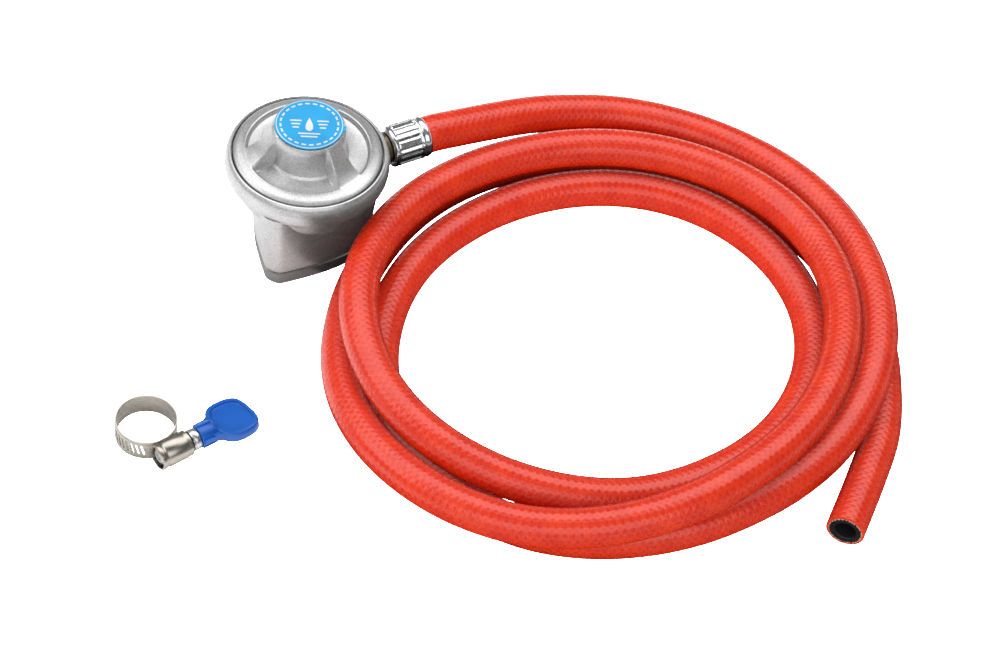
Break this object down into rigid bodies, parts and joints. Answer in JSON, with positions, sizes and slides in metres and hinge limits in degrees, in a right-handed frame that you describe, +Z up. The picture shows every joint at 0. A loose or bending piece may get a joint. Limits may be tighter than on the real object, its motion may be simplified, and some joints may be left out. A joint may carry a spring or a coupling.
{
  "type": "gas regulator with hose",
  "caption": "Clip-on low-pressure gas regulator with a sunk-pocket cover, a crimped ferrule and a long loosely coiled red hose, with a loose worm-drive hose clip that has a thumb key beside it.",
  "frame": {"origin": "middle of the footprint of the regulator and the loose clip, on the surface they lie on", "axes": "+Z up, -Y towards the regulator's pointed toe and the clip, +X towards the coiled hose"},
  "size_m": [0.2941, 0.228, 0.063],
  "materials": {
    "cast_metal": "satin metallic, fine sparkle",
    "dark_cast_metal": "satin metallic",
    "label": "printed film with a white edge",
    "red_rubber": "satin, with the slanting impression of its textile wrap",
    "black_rubber": "matte",
    "chromed_steel": "bright plated",
    "spring_steel": "bright",
    "brass": "turned",
    "stainless": "rolled strip",
    "zinc": "zinc plated",
    "blue_plastic": "moulded, satin gloss",
    "grey_plastic": "moulded"
  },
  "bodies": {
    "regulator": {"regulator_body": "cast_metal", "regulator_cover": "cast_metal", "cover_label": "label", "spring_adjuster": "brass", "main_spring": "spring_steel", "diaphragm": "black_rubber", "lever_pin": "spring_steel", "inlet_jet": "brass", "flow_spring": "spring_steel", "flow_retainer": "brass", "base_plate": "dark_cast_metal", "base_screw_1": "zinc", "base_screw_2": "zinc", "base_screw_3": "zinc", "inlet_seal": "black_rubber", "hose_tail": "brass", "hose_ferrule": "chromed_steel", "gas_hose": "red_rubber"},
    "diaphragm_centre": {"diaphragm_plate": "spring_steel", "diaphragm_stem": "brass"},
    "lever": {"valve_lever": "spring_steel"},
    "plunger": {"valve_plunger": "brass", "valve_pad": "black_rubber"},
    "flow_valve": {"flow_poppet": "brass"},
    "switch": {"switch_ring": "grey_plastic"},
    "pin": {"push_pin": "brass"},
    "clip": {"clamp_band": "stainless", "clamp_housing": "stainless"},
    "clip_screw": {"clamp_screw": "zinc", "screw_collar": "zinc", "thumb_key": "blue_plastic"}
  },
  "joints": [
    {"name": "diaphragm_travel", "type": "slide", "parent": "regulator", "child": "diaphragm_centre", "axis": [0, 0, 1], "range_m": [-0.0012, 0.0003], "stiffness_N_per_m": 800, "deforming": ["diaphragm", "main_spring"]},
    {"name": "lever_tilt", "type": "hinge", "parent": "regulator", "child": "lever", "pos_m": [0.0064, 0.0484, 0.038], "axis": [0, 1, 0], "range_deg": [-4, 13]},
    {"name": "plunger_travel", "type": "slide", "parent": "regulator", "child": "plunger", "axis": [0, 0, 1], "range_m": [-0.00025, 0.0009]},
    {"name": "flow_travel", "type": "slide", "parent": "regulator", "child": "flow_valve", "axis": [0, 0, 1], "range_m": [0, 0.0012], "stiffness_N_per_m": 40, "deforming": ["flow_spring"]},
    {"name": "switch_turn", "type": "hinge", "parent": "regulator", "child": "switch", "pos_m": [0.0119, 0.0484, 0.004], "axis": [0, 0, 1], "range_deg": [0, 36]},
    {"name": "pin_push", "type": "slide", "parent": "regulator", "child": "pin", "axis": [0, 0, -1], "range_m": [0, 0.0026]},
    {"name": "clip_lift", "type": "slide", "parent": "regulator", "child": "clip", "axis": [0, 0, 1], "range_m": [0, 0.05]},
    {"name": "screw_turn", "type": "hinge", "parent": "clip", "child": "clip_screw", "pos_m": [-0.02181, -0.07293, 0.0055], "axis": [0.7373, 0.6756, 0], "continuous": true}
  ],
  "couplings": [
    {"joint": "lever_tilt", "follows": "diaphragm_travel", "rad_per_m": -181.82},
    {"joint": "plunger_travel", "follows": "diaphragm_travel", "ratio": -0.72727},
    {"joint": "pin_push", "follows": "switch_turn", "m_per_rad": 0.0039789}
  ]
}
